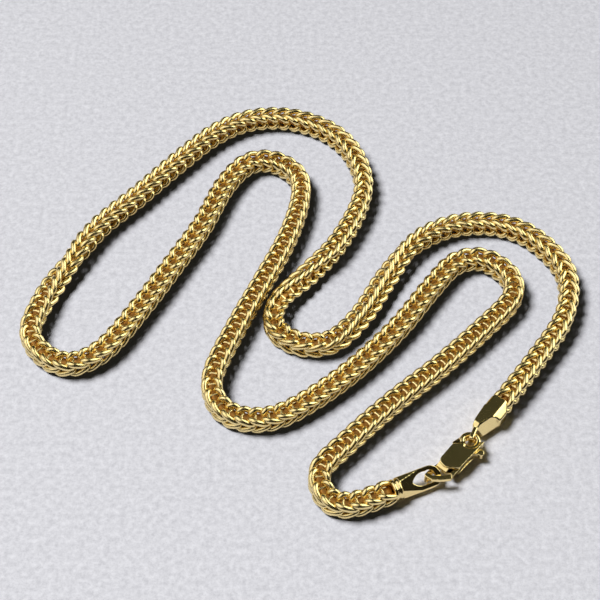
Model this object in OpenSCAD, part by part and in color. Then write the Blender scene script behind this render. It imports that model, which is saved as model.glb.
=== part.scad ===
// Square-section franco chain necklace, laid out flat in open curves and closed
// by a lobster clasp. Millimetres, +Z up, resting on the plane z = 0.

/* [Chain] */
// Width and height of the chain's square section
chain_w = 4; // [3.8:0.1:4.2]

/* [End cap with eye] */
// Width of the eye plate
eye_w = 4; // [3.6:0.1:4]
// Length of the whole cap, collar to end of eye
eye_len = 9.4; // [9.2:0.1:9.5]
// Thickness of the flattened eye plate
eye_thick = 0.8; // [0.6:0.1:0.9]
// Turn of the eye plate about its own length, far side up
eye_tilt = 35; // [33:1:38]

/* [End cap with loop] */
// Length of the cap's tapered block
cap_len = 7.9; // [7.8:0.1:8]
// Height of the block's flat top above the table
cap_top = 3.8; // [3.7:0.1:4]
// Width of the loop's flat wire
loop_w = 0.8; // [0.6:0.1:0.9]

/* [Clasp] */
// Height of the clasp's flat top above the table
clasp_top = 3; // [2.9:0.1:3]
// Thickness of the clasp body
clasp_thick = 2.5; // [2.3:0.1:2.6]
// Width of the claw's wire
claw_w = 0.9; // [0.7:0.1:0.9]
// Width of the lever's gate arm
gate_w = 0.7; // [0.5:0.1:0.8]
// Radius of the pin that the lever turns on
pin_r = 0.3; // [0.25:0.01:0.32]

/* [Hidden] */
$fn = 48;
gold = "goldenrod";

// Middle line of the chain, from the loop cap to the eye cap, seen from above
route = [
    [35.5, -24.5], [42.5, -15], [48, -6.5], [50, 1.5], [48.5, 8], [43, 14.5], [36, 17], [28, 16],
    [21, 11.5], [16, 4], [11, -5], [5.5, -11], [-0.5, -11.5], [-5, -8], [-4.5, -2], [1, 4.5],
    [6.5, 11.5], [11, 21], [12, 28.5], [9.5, 36.5], [4.5, 42], [-3, 45], [-11, 44.5], [-18, 40.5],
    [-25, 33], [-32.5, 24], [-39.5, 16], [-44.5, 7], [-48.5, -2], [-50, -9.5], [-46.5, -14.5],
    [-41.5, -16], [-36, -12.5], [-30, -3], [-24.5, 7], [-19.5, 16.5], [-15.5, 26.5], [-11, 32.5],
    [-5.5, 33], [-1, 29], [-0.5, 22.5], [-3, 13], [-7.5, 2.5], [-12, -7.5], [-16, -18],
    [-15.5, -24], [-11.5, -27.5], [-5, -27.5], [2.5, -23], [10.5, -16], [18, -7.5], [24, 1],
    [29, 7], [34.5, 8], [39, 4], [39, -1.5], [33, -8.5], [25, -16.5], [16, -24.5], [8, -32.5],
    [3, -38.5], [4, -43.5], [8, -45], [15, -42.5]
];
last_stop = len(route) - 1;
// The two runs of chain meet at this point of the route, in the left-hand bend
meeting_stop = 31;
tube_sides = 8;
tube_r = chain_w / 2 / cos(180 / tube_sides);

// Loop cap: where it starts, and the way that its length points
loop_cap_at = [35.5, -24.5];
loop_cap_turn = 232.3;
// Room between a chain end and its cap
seat_gap = 0.15;
loop_cap_bottom = 0.2;
// The narrow neck's sloping side starts here and runs in towards the end of the cap
neck_from = [4, 0.6];
neck_turn = -16;
neck_start = 0.3;
// The loop stands upright on the cap's end and leans a little to the clasp's side
loop_start = [6.6, -0.9];
loop_turn = 13.4;
loop_reach = 3.95;
loop_low = 0.3;
loop_top = 3.55;
loop_foot = 3.2;
loop_hole_from = 1.6;
loop_hole_to = 3.2;
loop_hole_low = 0.8;
loop_hole_high = 3;

// Eye cap
eye_cap_at = [14.95, -42.4];
eye_cap_turn = 23;
axis_h = 2;
ring_r = 2;
rings = 2;
ring_len = 0.8;
ring_from = 0.2;
// The flattened part starts inside the last ring
plate_from = 1.5;
eye_arc_at = 7.2;
eye_hole_r = 1.15;
eye_hole_side = 0.15;
eye_lens_at = 6.2;
eye_lens_r = 2.6;

// Clasp: its sharp corner by the loop cap, and the way that its straight side runs
clasp_at = [31.55, -33.14];
clasp_turn = 228.2;
clasp_bottom = clasp_top - clasp_thick;
slot_low = 0.95;
slot_high = 2.45;
lever_low = 1.05;
lever_high = 2.35;
tail_eye_at = [1.3, -2.1];
tail_eye_r = 1.42;
tail_wall = 1;
tail_low = 0.95;
tail_high = 2.85;
pivot = [4.1, -1.25];
hub_r = 0.75;
pin_play = 0.06;
pin_seat = 0.02;
pin_end = 2.72;
nub_at = [1.75, 0.6];
nub_r = 0.6;
gate_tip = [8.35, -0.4];
claw_low = 1;
claw_mid = 1.8;
claw_bar_low = 2.2;
claw_root_y = -2.4;
claw_root_w = 2.2;
claw_line = [[7.3, -2.9], [8.5, -3.4], [9.9, -3.65], [11, -3.65], [11.75, -3.3]];
claw_bar = [[11.75, -3.3], [11.6, -2.4], [10.7, -1.3], [9.5, -0.2]];

function unit(v) = v / norm(v);

// Direction of the route as it reaches, and as it leaves, point i
function way_in(i) = unit(route[max(i, 1)] - route[max(i, 1) - 1]);
function way_out(i) = unit(route[min(i, last_stop - 1) + 1] - route[min(i, last_stop - 1)]);

// One ring of the tube, square to the bend at point i and as wide as the chain there
function ring(i) =
    let (
        along = unit(way_in(i) + way_out(i)),
        across = [-along[1], along[0]] / (along * way_out(i))
    )
    [for (k = [0 : tube_sides - 1])
        let (a = 360 * (k + 0.5) / tube_sides, side = tube_r * cos(a) * across)
        [route[i][0] + side[0], route[i][1] + side[1], chain_w / 2 + tube_r * sin(a)]];

// Closed tube through the route's points from one stop to another
module tube(from, to) {
    n = tube_sides;
    points = [for (i = [from : to]) each ring(i)];
    steps = to - from;
    walls = [for (i = [0 : steps - 1], k = [0 : n - 1], half = [0, 1])
        let (a = i * n + k, b = i * n + (k + 1) % n)
        half == 0 ? [b, a, b + n] : [b + n, a, a + n]];
    first = [for (k = [0 : n - 1]) k];
    last = [for (k = [0 : n - 1]) steps * n + n - 1 - k];
    polyhedron(points = points, faces = concat([first], walls, [last]));
}

module chain_first_run() {
    color(gold) tube(0, meeting_stop);
}

module chain_second_run() {
    color(gold) tube(meeting_stop, last_stop);
}

// Outline whose corners, given as [x, y, radius], are rounded with short arcs
function corner(a, b, c, r) =
    let (
        u = unit(a - b),
        v = unit(c - b),
        half = acos(u * v) / 2,
        middle = b + unit(u + v) * r / sin(half),
        start = b + u * r / tan(half),
        finish = b + v * r / tan(half),
        a0 = atan2(start[1] - middle[1], start[0] - middle[0]),
        a1 = atan2(finish[1] - middle[1], finish[0] - middle[0]),
        swing = (a1 - a0 + 540) % 360 - 180,
        steps = 6
    )
    [for (k = [0 : steps]) middle + r * [cos(a0 + swing * k / steps), sin(a0 + swing * k / steps)]];

function xy(p) = [p[0], p[1]];

function rounded(p) =
    let (n = len(p))
    [for (i = [0 : n - 1]) each corner(xy(p[(i + n - 1) % n]), xy(p[i]), xy(p[(i + 1) % n]), p[i][2])];

// Bar of width w through a list of points, with round ends and joints
module stroke(points, w) {
    for (p = points) translate(p) circle(d = w);
    for (i = [0 : len(points) - 2]) {
        way = points[i + 1] - points[i];
        translate(points[i]) rotate(atan2(way[1], way[0]))
            translate([0, -w / 2]) square([norm(way), w]);
    }
}

module slab(low, high) {
    translate([0, 0, low]) linear_extrude(high - low) children();
}

// Side view, x along the piece and y up, given its width about y = 0
module standing(width) {
    rotate([90, 0, 0]) translate([0, 0, -width / 2]) linear_extrude(width) children();
}

// Whole cap seen from above: round at the chain, and narrower towards the end
module loop_cap_plan() {
    polygon(rounded([
        [seat_gap, -2, 0.8], [2.4, -2.05, 1], [6.4, -1.7, 0.6], [cap_len, -1.35, 0.3],
        [cap_len, 0.8, 0.4], [6.2, 1.35, 0.8], [4.2, 1.75, 0.2], [3.7, 2.05, 0.2], [2, 2.05, 0.8],
        [seat_gap, 0.9, 0.5]
    ]));
}

// The wide part by the chain ends in a slant
module collar_plan() {
    polygon([[0, -3], [5.2, -3], [5.2, 0.3], [4.75, 0.55], [4.2, 1.25], [3.95, 2.2], [0, 3]]);
}

// Section across the wide part: flat top, with a broad slope on the near side
module collar_section() {
    polygon(rounded([
        [-2.05, 1, 0.5], [-2, 3.4, 0.2], [-1.6, cap_top, 0.2], [0.7, cap_top, 0.2],
        [2, 2.9, 0.2], [2.05, 1, 0.4], [1.4, loop_cap_bottom, 0.3], [-1.4, loop_cap_bottom, 0.3]
    ]));
}

// Section across the neck: flat top, with a steep slope on the near side
module neck_section() {
    polygon(rounded([
        [-9, loop_cap_bottom, 0.1], [-9, cap_top, 0.1], [0, cap_top, 0.2],
        [1.2, 1.4, 0.4], [1, loop_cap_bottom, 0.3]
    ]));
}

// Side view of the cap: its end is cut off at a slope
module loop_cap_side() {
    polygon([
        [0, loop_cap_bottom], [cap_len - 1.1, loop_cap_bottom], [cap_len - 0.5, 0.6],
        [cap_len, 2.9], [cap_len, 3.45], [cap_len - 0.8, cap_top], [0, cap_top]
    ]);
}

module loop_cap_block() {
    intersection() {
        slab(0, cap_top) loop_cap_plan();
        standing(3 * chain_w) loop_cap_side();
        union() {
            intersection() {
                slab(0, cap_top) collar_plan();
                rotate([90, 0, 90]) linear_extrude(cap_len) collar_section();
            }
            translate(neck_from) rotate(neck_turn) rotate([90, 0, 90])
                translate([0, 0, -neck_start]) linear_extrude(cap_len) neck_section();
        }
    }
}

// Upright loop that goes down through the clasp's tail eye
module cap_loop() {
    translate(loop_start) rotate(loop_turn) standing(loop_w) difference() {
        polygon(rounded([
            [0, loop_low, 0.1], [loop_reach, loop_low, 0.4], [loop_reach, loop_top, 0.4],
            [1.6, loop_top, 0.3], [1.1, loop_foot, 0.2], [0, loop_foot, 0.1]
        ]));
        polygon(rounded([
            [loop_hole_from, loop_hole_low, 0.15], [loop_hole_to, loop_hole_low, 0.15],
            [loop_hole_to, loop_hole_high, 0.15], [loop_hole_from, loop_hole_high, 0.15]
        ]));
    }
}

module end_cap_loop() {
    color(gold) translate(loop_cap_at) rotate(loop_cap_turn) {
        loop_cap_block();
        cap_loop();
    }
}

// Two round rings side by side, turned about the cap's length
module eye_cap_collar() {
    rotate([90, 0, 90]) rotate_extrude() {
        for (i = [0 : rings - 1])
            translate([ring_r - ring_len / 2, ring_from + (i + 0.5) * ring_len]) circle(d = ring_len);
        translate([0, ring_from]) square([ring_r - ring_len / 2, rings * ring_len]);
    }
}

// Outline of the flattened end and its almond-shaped hole
module eye_plan() {
    difference() {
        union() {
            translate([eye_len - eye_w / 2, 0]) circle(d = eye_w);
            translate([plate_from, -eye_w / 2]) square([eye_len - eye_w / 2 - plate_from, eye_w]);
        }
        translate([0, eye_hole_side]) {
            translate([eye_arc_at, 0]) circle(r = eye_hole_r);
            intersection() {
                translate([eye_lens_at, eye_hole_r - eye_lens_r]) circle(r = eye_lens_r);
                translate([eye_lens_at, eye_lens_r - eye_hole_r]) circle(r = eye_lens_r);
            }
        }
    }
}

// Side view: from the round collar down to the thin plate
module eye_side() {
    thin = eye_thick / 2;
    polygon([
        [plate_from, -1.3], [2, -1.15], [4, -0.7], [5.4, -thin], [eye_len, -thin],
        [eye_len, thin], [5.4, thin], [4, 0.7], [2, 1.15], [plate_from, 1.3]
    ]);
}

// Section across the flattened part: a flat middle between two slopes
module eye_section() {
    half = eye_w / 2;
    polygon([
        [-half, -0.15], [-0.2, -1.4], [1.1, -1.4], [half, -0.3],
        [half, 0.3], [1.1, 1.4], [-0.2, 1.4], [-half, 0.15]
    ]);
}

module end_cap_eye() {
    color(gold) translate([eye_cap_at[0], eye_cap_at[1], axis_h]) rotate([eye_tilt, 0, eye_cap_turn]) {
        eye_cap_collar();
        intersection() {
            slab(-chain_w, chain_w) eye_plan();
            standing(3 * chain_w) eye_side();
            rotate([90, 0, 90]) linear_extrude(eye_len) eye_section();
        }
    }
}

module on_clasp() {
    translate(clasp_at) rotate(clasp_turn) children();
}

// Flat body: its tail end is cut round the tail eye
module clasp_plan() {
    difference() {
        polygon(rounded([
            [-0.1, 0, 0.1], [3.95, -3.95, 0.8], [8.2, -3.75, 1.2], [8.5, -1.9, 0.9], [6.9, 0, 0.7]
        ]));
        translate(tail_eye_at) circle(r = tail_eye_r + 0.3 * tail_wall);
    }
}

// Room for the lever between the body's two cheeks, open on the straight side
module lever_slot() {
    slab(slot_low, slot_high) {
        polygon([
            [1.25, 0.6], [1.25, -0.1], [2.6, -0.9], [3.3, -1.6], [3.4, -2.4], [9.2, -2.95], [9.2, 0.6]
        ]);
        translate(pivot) circle(r = hub_r + 0.2);
    }
}

// Side view of the claw's root, which slopes down from the body's end
module claw_root() {
    translate([0, claw_root_y, 0]) standing(claw_root_w) polygon([
        [7, claw_low], [8.9, claw_low], [9.05, 2.2], [9, 2.55], [8, 2.97], [7, 2.97]
    ]);
}

// Claw: the left branch runs low, the near bar runs high, and they join at the tip
module claw() {
    claw_root();
    slab(claw_low, claw_mid) stroke(claw_line, claw_w);
    slab(claw_bar_low, clasp_top) stroke(claw_bar, claw_w);
    slab(claw_low, clasp_top) translate(claw_bar[0]) circle(d = claw_w);
}

// Shoulder beside the tail eye, which slopes down from the body's flat top
module tail_shoulder() {
    intersection() {
        slab(tail_low, clasp_top)
            polygon([[1.3, -4], [3.4, -4.3], [4.4, -3.7], [3, -2.2], [1.3, -2.9]]);
        translate([3.3, -3.1, 0]) rotate(-131) standing(6) polygon([
            [-0.5, tail_low], [2, tail_low], [2, 2.2], [0, clasp_top], [-0.5, clasp_top]
        ]);
    }
}

// Thick eye with rounded rims at the body's tail
module tail_eye() {
    inner = tail_eye_r - tail_wall / 2;
    outer = tail_eye_r + tail_wall / 2;
    translate([tail_eye_at[0], tail_eye_at[1], 0]) rotate_extrude() polygon(rounded([
        [inner, tail_low, 0.3], [outer, tail_low, 0.3], [outer, tail_high, 0.4], [inner, tail_high, 0.4]
    ]));
}

module clasp_body() {
    color(gold) on_clasp() difference() {
        union() {
            slab(clasp_bottom, clasp_top) clasp_plan();
            claw();
            tail_shoulder();
            tail_eye();
        }
        lever_slot();
        translate([pivot[0], pivot[1], clasp_bottom - 1])
            cylinder(r = pin_r + pin_seat, h = pin_end + pin_seat + 1 - clasp_bottom);
    }
}

// Lever: hub on the pin, arm along the straight side to the claw's end, thumb nub outside
module clasp_lever() {
    color(gold) on_clasp() difference() {
        slab(lever_low, lever_high) {
            translate(pivot) circle(r = hub_r);
            stroke([nub_at, [2.7, -0.3], [4.1, -0.55], [5.2, -0.5], [6.6, -0.4], gate_tip], gate_w);
            translate(nub_at) circle(r = nub_r);
        }
        translate([pivot[0], pivot[1], 0]) cylinder(r = pin_r + pin_play, h = clasp_top);
    }
}

module lever_pin() {
    color(gold) on_clasp() translate([pivot[0], pivot[1], clasp_bottom])
        cylinder(r = pin_r, h = pin_end - clasp_bottom);
}

chain_first_run();
chain_second_run();
end_cap_loop();
end_cap_eye();
clasp_body();
clasp_lever();
lever_pin();
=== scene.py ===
import math

import bpy
import numpy as np
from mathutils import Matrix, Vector


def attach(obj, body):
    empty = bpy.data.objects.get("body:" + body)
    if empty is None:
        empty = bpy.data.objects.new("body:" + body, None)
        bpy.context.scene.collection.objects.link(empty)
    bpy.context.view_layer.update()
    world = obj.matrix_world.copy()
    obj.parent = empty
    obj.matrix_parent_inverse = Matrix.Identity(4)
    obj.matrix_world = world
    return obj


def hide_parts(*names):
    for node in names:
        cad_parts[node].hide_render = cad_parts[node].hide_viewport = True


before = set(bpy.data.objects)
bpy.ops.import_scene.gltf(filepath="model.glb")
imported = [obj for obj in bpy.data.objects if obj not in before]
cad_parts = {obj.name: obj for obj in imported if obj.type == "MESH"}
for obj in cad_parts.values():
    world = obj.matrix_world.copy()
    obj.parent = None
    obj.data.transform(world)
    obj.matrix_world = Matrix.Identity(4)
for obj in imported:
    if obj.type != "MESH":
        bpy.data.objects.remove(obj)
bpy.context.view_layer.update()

MM = 0.001
ROOT = "necklace"

# Camera: how steeply it looks down on the table, and from how far
CAMERA_ELEVATION = math.radians(53)
CAMERA_DISTANCE = 280.4 * MM
CAMERA_TARGET = np.array([-0.5, -1.5, 2.0]) * MM
LENS_MM = 90
SENSOR_MM = 36
NEAREST_SEEN = 10 * MM

# Lights, in metres and watts: direction from the table's middle, distance, size, power, colour.
# The key lights the table and throws the shadows. The panels only show in the metal.
KEY_LIGHT = ((-0.50, 0.16, 0.85), 3.0, 1.15, 101, (1, 1, 1))
PANELS = {
    "glint": ((-0.42, 0.20, 0.89), 1.5, 0.55, 1.0, (1, 1, 1)),
    "halo": ((-0.58, 0.02, 0.81), 1.5, 2.60, 17.0, (1, 0.98, 0.92)),
    "side": ((0.74, 0.38, 0.56), 1.5, 1.50, 14.0, (0.95, 1, 0.85)),
    "back": ((0.00, 0.60, 0.80), 1.6, 2.20, 0.38, (0.9, 1, 0.7)),
}
ROOM_GLOW = (0.016, 0.0145, 0.010, 1)

# Paper: its tones, and the painted light falloff: how much paler its colour is painted at the near
# end than at the far end
PAPER_DARK = (0.628, 0.628, 0.668)
PAPER_PALE = (0.852, 0.852, 0.897)
PAPER_PAINTED_FALLOFF_END = 90 * MM
PAPER_NEAR_PAINTED_LIGHT = 1.03
PAPER_FAR_PAINTED_LIGHT = 0.92
PAPER_HALF = 3.0

# Metals: the core stands for the inside of the chain, and its deep colour is painted shade of the
# hollows between the wires
GOLD = (0.98, 0.78, 0.37)
SHADED_CORE_GOLD = (0.42, 0.20, 0.05)
CHAIN_ROUGHNESS = 0.24
CORE_ROUGHNESS = 0.40
FITTING_ROUGHNESS = 0.12
CHAIN_MARKS = 2500
FITTING_MARKS = 1500

# Middle line of the chain, in metres, from the loop cap to the eye cap
ROUTE = MM * np.array([
    (35.5, -24.5), (42.5, -15), (48, -6.5), (50, 1.5), (48.5, 8), (43, 14.5), (36, 17), (28, 16),
    (21, 11.5), (16, 4), (11, -5), (5.5, -11), (-0.5, -11.5), (-5, -8), (-4.5, -2), (1, 4.5),
    (6.5, 11.5), (11, 21), (12, 28.5), (9.5, 36.5), (4.5, 42), (-3, 45), (-11, 44.5), (-18, 40.5),
    (-25, 33), (-32.5, 24), (-39.5, 16), (-44.5, 7), (-48.5, -2), (-50, -9.5), (-46.5, -14.5),
    (-41.5, -16), (-36, -12.5), (-30, -3), (-24.5, 7), (-19.5, 16.5), (-15.5, 26.5), (-11, 32.5),
    (-5.5, 33), (-1, 29), (-0.5, 22.5), (-3, 13), (-7.5, 2.5), (-12, -7.5), (-16, -18),
    (-15.5, -24), (-11.5, -27.5), (-5, -27.5), (2.5, -23), (10.5, -16), (18, -7.5), (24, 1),
    (29, 7), (34.5, 8), (39, 4), (39, -1.5), (33, -8.5), (25, -16.5), (16, -24.5), (8, -32.5),
    (3, -38.5), (4, -43.5), (8, -45), (15, -42.5),
])
STEPS_PER_STOP = 24
# The two runs of chain meet at this point of the route, in the left-hand bend
MEETING_STOP = 31

# Chain links. Each is a wire loop folded over: its bend passes through the two loop ends of
# the link before it. The table is a quarter of the wire's middle line, from the bend to the
# loop end: along the chain, to the side and up, in mm.
CHAIN_W = 4.0 * MM
LINK_PITCH = 2.37 * MM
WIRE_R = 0.56 * MM
WIRE_SIDES = 10
LINK_QUARTER = MM * np.array([
    (0.00, 0.00, 0.52),
    (0.03, 0.72, 0.55),
    (0.30, 1.24, 0.80),
    (0.85, 1.38, 1.20),
    (1.50, 1.20, 1.38),
    (2.25, 0.80, 1.38),
    (2.95, 0.47, 1.24),
    (3.30, 0.44, 0.66),
    (3.32, 0.44, 0.00),
])
LINK_LENGTH = LINK_QUARTER[-1, 0]
WIRE_STEPS = 2
# The end links reach this far into the caps
END_TUCK = 0.75 * MM

# Packed inside of the chain: half its width, and how much it swells within each link
CORE_HALF = 0.93 * MM
CORE_SWELL = 0.05 * MM
CORE_SIDES = 12
CORE_STEPS = 4

# Roll of the links about the chain's length: place along the chain in mm, and degrees
ROLL_STOPS = [
    (0, 0), (66, 0), (80, -45), (92, -52), (98, -90), (110, -90), (131, 0), (229, 0),
    (245, -90), (540, -90),
]
# Where the chain turns over it lies on an edge, and there it is this much less high
EDGE_SQUASH = 0.17

# Cast fittings: the fineness of their surface, and the smoothing passes that round the edges
REMESH_STEP = 0.06 * MM
EDGE_SMOOTHING = {"end_cap_loop": 60, "end_cap_eye": 22, "clasp_body": 16, "clasp_lever": 8}


def principled(name):
    material = bpy.data.materials.new(name)
    material.use_nodes = True
    nodes = material.node_tree.nodes
    return material, nodes, material.node_tree.links, nodes["Principled BSDF"]


def noise(nodes, scale, detail, roughness=0.5):
    texture = nodes.new("ShaderNodeTexNoise")
    texture.inputs["Scale"].default_value = scale
    texture.inputs["Detail"].default_value = detail
    texture.inputs["Roughness"].default_value = roughness
    return texture


def colour_ramp(nodes, *stops):
    """Ramp between two stops, each a position and a colour."""
    ramp = nodes.new("ShaderNodeValToRGB")
    for element, (position, colour) in zip(ramp.color_ramp.elements, stops):
        element.position = position
        element.color = (*colour, 1)
    return ramp


def relief(nodes, strength, depth):
    bump = nodes.new("ShaderNodeBump")
    bump.inputs["Strength"].default_value = strength
    bump.inputs["Distance"].default_value = depth
    return bump


def gold(name, colour, roughness, marks_scale):
    """Polished yellow gold: slight tone changes, fine polishing marks and smears in the gloss."""
    material, nodes, links, bsdf = principled(name)
    bsdf.inputs["Metallic"].default_value = 1
    place = nodes.new("ShaderNodeTexCoord")
    tone = noise(nodes, 180, 3)
    smear = noise(nodes, 420, 4)
    marks = noise(nodes, marks_scale, 5)
    for texture in (tone, smear, marks):
        links.new(place.outputs["Object"], texture.inputs["Vector"])
    ramp = colour_ramp(nodes, (0.3, [c * 0.93 for c in colour]), (0.7, colour))
    links.new(tone.outputs["Fac"], ramp.inputs["Fac"])
    links.new(ramp.outputs["Color"], bsdf.inputs["Base Color"])
    gloss = nodes.new("ShaderNodeMapRange")
    gloss.inputs["To Min"].default_value = roughness * 0.7
    gloss.inputs["To Max"].default_value = roughness * 1.4
    links.new(smear.outputs["Fac"], gloss.inputs["Value"])
    links.new(gloss.outputs["Result"], bsdf.inputs["Roughness"])
    bump = relief(nodes, 0.12, 0.02 * MM)
    links.new(marks.outputs["Fac"], bump.inputs["Height"])
    links.new(bump.outputs["Normal"], bsdf.inputs["Normal"])
    return material


def paper():
    """Matt off-white paper with a faint grain, its colour a little darker towards its far side as
    painted light falloff.
    """
    material, nodes, links, bsdf = principled("paper")
    bsdf.inputs["Roughness"].default_value = 0.9
    bsdf.inputs["Specular IOR Level"].default_value = 0.0
    place = nodes.new("ShaderNodeTexCoord")
    grain = noise(nodes, 900, 5, 0.8)
    links.new(place.outputs["Object"], grain.inputs["Vector"])
    ramp = colour_ramp(nodes, (0.35, PAPER_DARK), (0.65, PAPER_PALE))
    links.new(grain.outputs["Fac"], ramp.inputs["Fac"])
    spread = nodes.new("ShaderNodeSeparateXYZ")
    links.new(place.outputs["Object"], spread.inputs["Vector"])
    # Painted light falloff: the paper's colour is scaled paler near and darker far along Y
    painted_falloff = nodes.new("ShaderNodeMapRange")
    painted_falloff.inputs["From Min"].default_value = -PAPER_PAINTED_FALLOFF_END
    painted_falloff.inputs["From Max"].default_value = PAPER_PAINTED_FALLOFF_END
    painted_falloff.inputs["To Min"].default_value = PAPER_NEAR_PAINTED_LIGHT
    painted_falloff.inputs["To Max"].default_value = PAPER_FAR_PAINTED_LIGHT
    links.new(spread.outputs["Y"], painted_falloff.inputs["Value"])
    lit_paper_tone = nodes.new("ShaderNodeVectorMath")
    lit_paper_tone.operation = "SCALE"
    links.new(ramp.outputs["Color"], lit_paper_tone.inputs[0])
    links.new(painted_falloff.outputs["Result"], lit_paper_tone.inputs["Scale"])
    links.new(lit_paper_tone.outputs["Vector"], bsdf.inputs["Base Color"])
    bump = relief(nodes, 0.25, 0.1 * MM)
    links.new(grain.outputs["Fac"], bump.inputs["Height"])
    links.new(bump.outputs["Normal"], bsdf.inputs["Normal"])
    return material


def spline(p0, p1, p2, p3, u):
    """Places between p1 and p2 on the smooth curve through all four points."""
    return 0.5 * (
        2 * p1 + (p2 - p0) * u + (2 * p0 - 5 * p1 + 4 * p2 - p3) * u ** 2
        + (3 * p1 - p0 - 3 * p2 + p3) * u ** 3
    )


def open_curve(points, steps):
    """Smooth line from the first point to the last, with so many steps from each to the next."""
    u = np.linspace(0, 1, steps, endpoint=False)[:, None]
    padded = np.vstack([2 * points[0] - points[1], points, 2 * points[-1] - points[-2]])
    spans = zip(padded, padded[1:], padded[2:], padded[3:])
    return np.vstack([spline(*span, u) for span in spans] + [points[-1:]])


def closed_curve(points, steps):
    """Closed smooth line through the points, with so many steps from each to the next."""
    u = np.linspace(0, 1, steps, endpoint=False)[:, None]
    spans = zip(*(np.roll(points, shift, axis=0) for shift in (1, 0, -1, -2)))
    return np.vstack([spline(*span, u) for span in spans])


LINE = open_curve(ROUTE, STEPS_PER_STOP)
LINE_S = np.concatenate([[0], np.cumsum(np.hypot(*np.diff(LINE, axis=0).T))])
LINE_HEADING = np.unwrap(np.arctan2(*np.gradient(LINE, axis=0).T[::-1]))
CHAIN_LENGTH = LINE_S[-1]
MEETING_S = LINE_S[MEETING_STOP * STEPS_PER_STOP]


def roll_at(s):
    places, degrees = zip(*ROLL_STOPS)
    return np.radians(np.interp(s / MM, places, degrees))


def on_chain(x, y, z):
    """World places of points at distance x along the chain, y to its left and z up, rolled."""
    px = np.interp(x, LINE_S, LINE[:, 0])
    py = np.interp(x, LINE_S, LINE[:, 1])
    heading = np.interp(x, LINE_S, LINE_HEADING)
    roll = roll_at(x)
    left = np.cos(roll) * y - np.sin(roll) * z
    up = np.sin(roll) * y + np.cos(roll) * z
    up = up * (1 - EDGE_SQUASH * np.abs(np.sin(2 * roll)))
    # Past either end of the line the chain goes straight on
    before = np.minimum(x, 0)
    after = np.maximum(x - CHAIN_LENGTH, 0)
    along = before + after
    wx = px + np.cos(heading) * along - np.sin(heading) * left
    wy = py + np.sin(heading) * along + np.cos(heading) * left
    return np.stack([wx, wy, CHAIN_W / 2 + up], axis=-1)


def ring_tube(line, radius, sides):
    """Closed tube round a closed line: points and four-sided faces."""
    count = len(line)
    tangent = np.roll(line, -1, axis=0) - np.roll(line, 1, axis=0)
    tangent /= np.linalg.norm(tangent, axis=1)[:, None]
    # Any direction that isn't along the line starts the frame, which is then carried round
    slanting = [0.31, 0.87, 0.21]
    normal = np.zeros_like(line)
    first = np.cross(tangent[0], slanting)
    normal[0] = first / np.linalg.norm(first)
    for i in range(1, count):
        n = normal[i - 1] - tangent[i] * (normal[i - 1] @ tangent[i])
        normal[i] = n / np.linalg.norm(n)
    # The twist left over at the join is shared out
    n = normal[-1] - tangent[0] * (normal[-1] @ tangent[0])
    n /= np.linalg.norm(n)
    twist = math.atan2(np.cross(n, normal[0]) @ tangent[0], n @ normal[0])
    side = np.cross(tangent, normal)
    angle = 2 * math.pi * np.arange(sides) / sides
    turn = angle[None, :] + (twist * np.arange(count) / count)[:, None]
    points = line[:, None] + radius * (
        np.cos(turn)[..., None] * normal[:, None] + np.sin(turn)[..., None] * side[:, None]
    )
    i, k = np.meshgrid(np.arange(count), np.arange(sides), indexing="ij")
    i2, k2 = (i + 1) % count, (k + 1) % sides
    faces = np.stack([i * sides + k, i * sides + k2, i2 * sides + k2, i2 * sides + k], axis=-1)
    return points.reshape(-1, 3), faces.reshape(-1, 4)


def mesh_object(name, points, faces, *materials):
    mesh = bpy.data.meshes.new(name)
    mesh.from_pydata(np.asarray(points).tolist(), [], [list(face) for face in faces])
    mesh.polygons.foreach_set("use_smooth", [True] * len(mesh.polygons))
    for material in materials:
        mesh.materials.append(material)
    mesh.update()
    piece = bpy.data.objects.new(name, mesh)
    bpy.context.scene.collection.objects.link(piece)
    return piece


def link():
    """One link as a closed wire, its bend at 0 and its two loop ends ahead."""
    half = np.vstack([LINK_QUARTER, (LINK_QUARTER * [1, 1, -1])[-2::-1]])
    whole = np.vstack([half, (half * [1, -1, 1])[-2:0:-1]])
    return ring_tube(closed_curve(whole, WIRE_STEPS), WIRE_R, WIRE_SIDES)


def core(low, high):
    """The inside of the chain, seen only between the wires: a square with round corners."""
    stops = np.arange(low, high, LINK_PITCH / CORE_STEPS)
    stops = np.append(stops[:-1], high)
    angle = 2 * math.pi * (np.arange(CORE_SIDES) + 0.5) / CORE_SIDES
    reach = 1 / (np.abs(np.cos(angle)) ** 4 + np.abs(np.sin(angle)) ** 4) ** 0.25
    half = CORE_HALF + CORE_SWELL * np.cos(2 * math.pi * stops / LINK_PITCH)
    x = np.repeat(stops, CORE_SIDES)
    y = (half[:, None] * reach * np.cos(angle)).ravel()
    z = (half[:, None] * reach * np.sin(angle)).ravel()
    faces = []
    for i in range(len(stops) - 1):
        row, after = i * CORE_SIDES, (i + 1) * CORE_SIDES
        for k in range(CORE_SIDES):
            k2 = (k + 1) % CORE_SIDES
            faces.append((row + k, row + k2, after + k2, after + k))
    last = (len(stops) - 1) * CORE_SIDES
    faces.append(tuple(reversed(range(CORE_SIDES))))
    faces.append(tuple(last + k for k in range(CORE_SIDES)))
    return on_chain(x, y, z), faces


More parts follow.
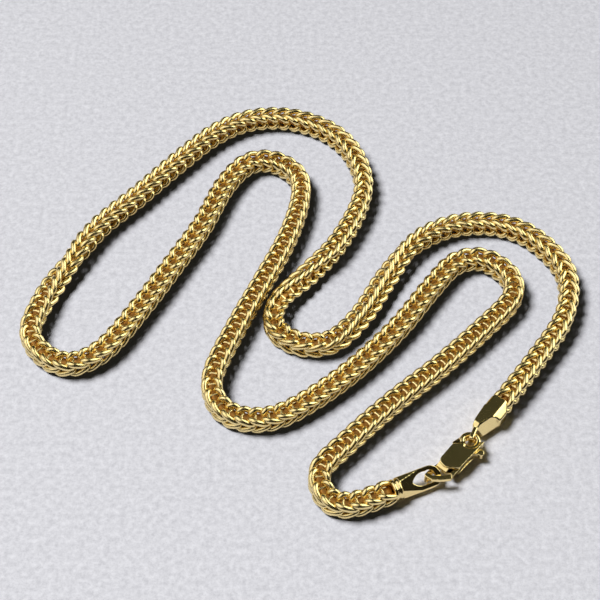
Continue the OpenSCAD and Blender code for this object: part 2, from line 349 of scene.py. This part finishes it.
def chain_run(name, low, high, wire_material, shaded_core_material):
    """The links whose middles lie from low to high along the chain, and the core inside them."""
    wire, wire_faces = link()
    first = -END_TUCK
    last = CHAIN_LENGTH + END_TUCK - LINK_LENGTH
    count = round((last - first) / LINK_PITCH)
    points, faces = [], []
    base = 0
    for bend in np.linspace(first, last, count + 1):
        if low <= bend + LINK_LENGTH / 2 < high:
            points.append(on_chain(bend + wire[:, 0], wire[:, 1], wire[:, 2]))
            faces += (wire_faces + base).tolist()
            base += len(wire)
    wire_count = len(faces)
    inside, inside_faces = core(max(low, 0), min(high, CHAIN_LENGTH))
    points.append(inside)
    faces += [tuple(base + v for v in face) for face in inside_faces]
    piece = mesh_object(name, np.vstack(points), faces, wire_material, shaded_core_material)
    shades = np.zeros(len(faces), dtype=np.int32)
    shades[wire_count:] = 1
    piece.data.polygons.foreach_set("material_index", shades)
    return piece


def make_camera():
    data = bpy.data.cameras.new("camera")
    data.lens = LENS_MM
    data.sensor_width = SENSOR_MM
    data.clip_start = NEAREST_SEEN
    camera = bpy.data.objects.new("camera", data)
    bpy.context.scene.collection.objects.link(camera)
    back = np.array([0, -math.cos(CAMERA_ELEVATION), math.sin(CAMERA_ELEVATION)])
    camera.location = CAMERA_TARGET + back * CAMERA_DISTANCE
    camera.rotation_euler = (math.pi / 2 - CAMERA_ELEVATION, 0, 0)
    bpy.context.scene.camera = camera


def make_floor():
    half = PAPER_HALF
    points = np.array([(-half, -half, 0), (half, -half, 0), (half, half, 0), (-half, half, 0)])
    floor = mesh_object("floor", points, np.array([(0, 1, 2, 3)]), paper())


def area_light(name, direction, distance, size, power, colour):
    data = bpy.data.lights.new(name, "AREA")
    data.shape = "DISK"
    data.size = size
    data.energy = power
    data.color = colour
    lamp = bpy.data.objects.new(name, data)
    bpy.context.scene.collection.objects.link(lamp)
    way = np.array(direction, float)
    way /= np.linalg.norm(way)
    lamp.location = way * distance
    lamp.rotation_euler = Vector(way).to_track_quat("Z", "Y").to_euler()
    return lamp


def make_light():
    key = area_light("key", *KEY_LIGHT)
    key.visible_glossy = False
    for name, values in PANELS.items():
        panel = area_light(name, *values)
        panel.visible_diffuse = False
    world = bpy.data.worlds.new("world")
    bpy.context.scene.world = world
    world.use_nodes = True
    world.node_tree.nodes["Background"].inputs["Color"].default_value = ROOM_GLOW
    bpy.context.scene.view_settings.view_transform = "Standard"


def make_chain():
    """Woven links in place of both plain runs."""
    wire_material = gold("chain_gold", GOLD, CHAIN_ROUGHNESS, CHAIN_MARKS)
    # The core's deep colour is painted shade, darkening the hollows seen between the wires
    shaded_core_material = gold("core_painted_shade_gold", SHADED_CORE_GOLD, CORE_ROUGHNESS, CHAIN_MARKS)
    spans = {"first": (-1, MEETING_S), "second": (MEETING_S, CHAIN_LENGTH + 1)}
    for run, (low, high) in spans.items():
        links = chain_run(f"chain_{run}_links", low, high, wire_material, shaded_core_material)
        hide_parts(f"chain_{run}_run")
        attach(links, ROOT)
        # The paper beside the chain shows no golden glow
        links.visible_diffuse = False


def dress_fittings():
    """Gold on every cast part, and round polished edges on all but the pin."""
    fitting_gold = gold("fitting_gold", GOLD, FITTING_ROUGHNESS, FITTING_MARKS)
    for node in (*EDGE_SMOOTHING, "lever_pin"):
        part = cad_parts[node]
        part.data.materials.clear()
        part.data.materials.append(fitting_gold)
    for node, passes in EDGE_SMOOTHING.items():
        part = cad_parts[node]
        remesh = part.modifiers.new("fine_surface", "REMESH")
        remesh.mode = "VOXEL"
        remesh.voxel_size = REMESH_STEP
        remesh.use_smooth_shade = True
        smooth = part.modifiers.new("round_edges", "SMOOTH")
        smooth.factor = 0.5
        smooth.iterations = passes


make_camera()
make_light()
make_floor()
make_chain()
dress_fittings()
